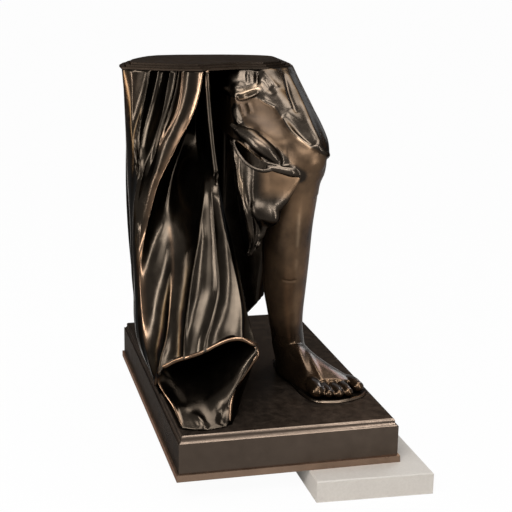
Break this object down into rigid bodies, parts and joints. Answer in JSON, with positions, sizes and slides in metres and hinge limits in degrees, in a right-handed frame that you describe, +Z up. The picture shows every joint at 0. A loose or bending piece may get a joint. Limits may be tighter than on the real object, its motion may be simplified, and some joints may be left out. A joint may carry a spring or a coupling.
{
  "type": "figural display plinth",
  "caption": "Cast bronze display plinth: a draped half-figure with one bare leg, cut flat on top, on a moulded base over stone risers.",
  "frame": {"origin": "middle of the whole part in plan, on the floor face of the stone risers", "axes": "+Z up, -Y towards the front where the foot points, +X towards the bare leg's side"},
  "size_m": [0.484, 0.76, 0.7095],
  "materials": {
    "bronze": "dark brown patina, waxed, copper wear on the high folds",
    "skin_bronze": "brown patina, waxed, smoother",
    "base_bronze": "brown patina, satin",
    "band_bronze": "reddish brown patina, satin",
    "cap": "near-black patina, satin",
    "steel": "plain",
    "stone": "honed pale limestone"
  },
  "bodies": {
    "root": {"riser_slab_right": "stone", "riser_slab_left": "stone", "riser_dowels": "steel", "base_casting": "base_bronze", "base_cross_bars": "base_bronze", "base_long_bars": "base_bronze", "bearing_blocks": "base_bronze", "base_band_front": "band_bronze", "base_band_rear": "band_bronze", "base_band_left": "band_bronze", "base_band_right": "band_bronze", "drape_casting": "bronze", "hem_casting": "bronze", "rear_drape_casting": "bronze", "hip_casting": "bronze", "swag_casting": "bronze", "leg_casting": "skin_bronze", "foot_casting": "skin_bronze", "ground_pad": "bronze", "cap_plate_lower": "cap", "cap_plate_middle": "cap", "cap_plate_upper": "cap", "armature_post": "steel", "armature_foot_flange": "steel", "armature_head_flange": "steel", "armature_arm": "steel", "arm_wedge": "steel", "flange_bolts": "steel", "flange_nuts": "steel", "cap_pins": "base_bronze", "leg_tie_rod": "steel", "tie_rod_nuts": "steel", "seam_keys": "base_bronze"}
  },
  "joints": []
}
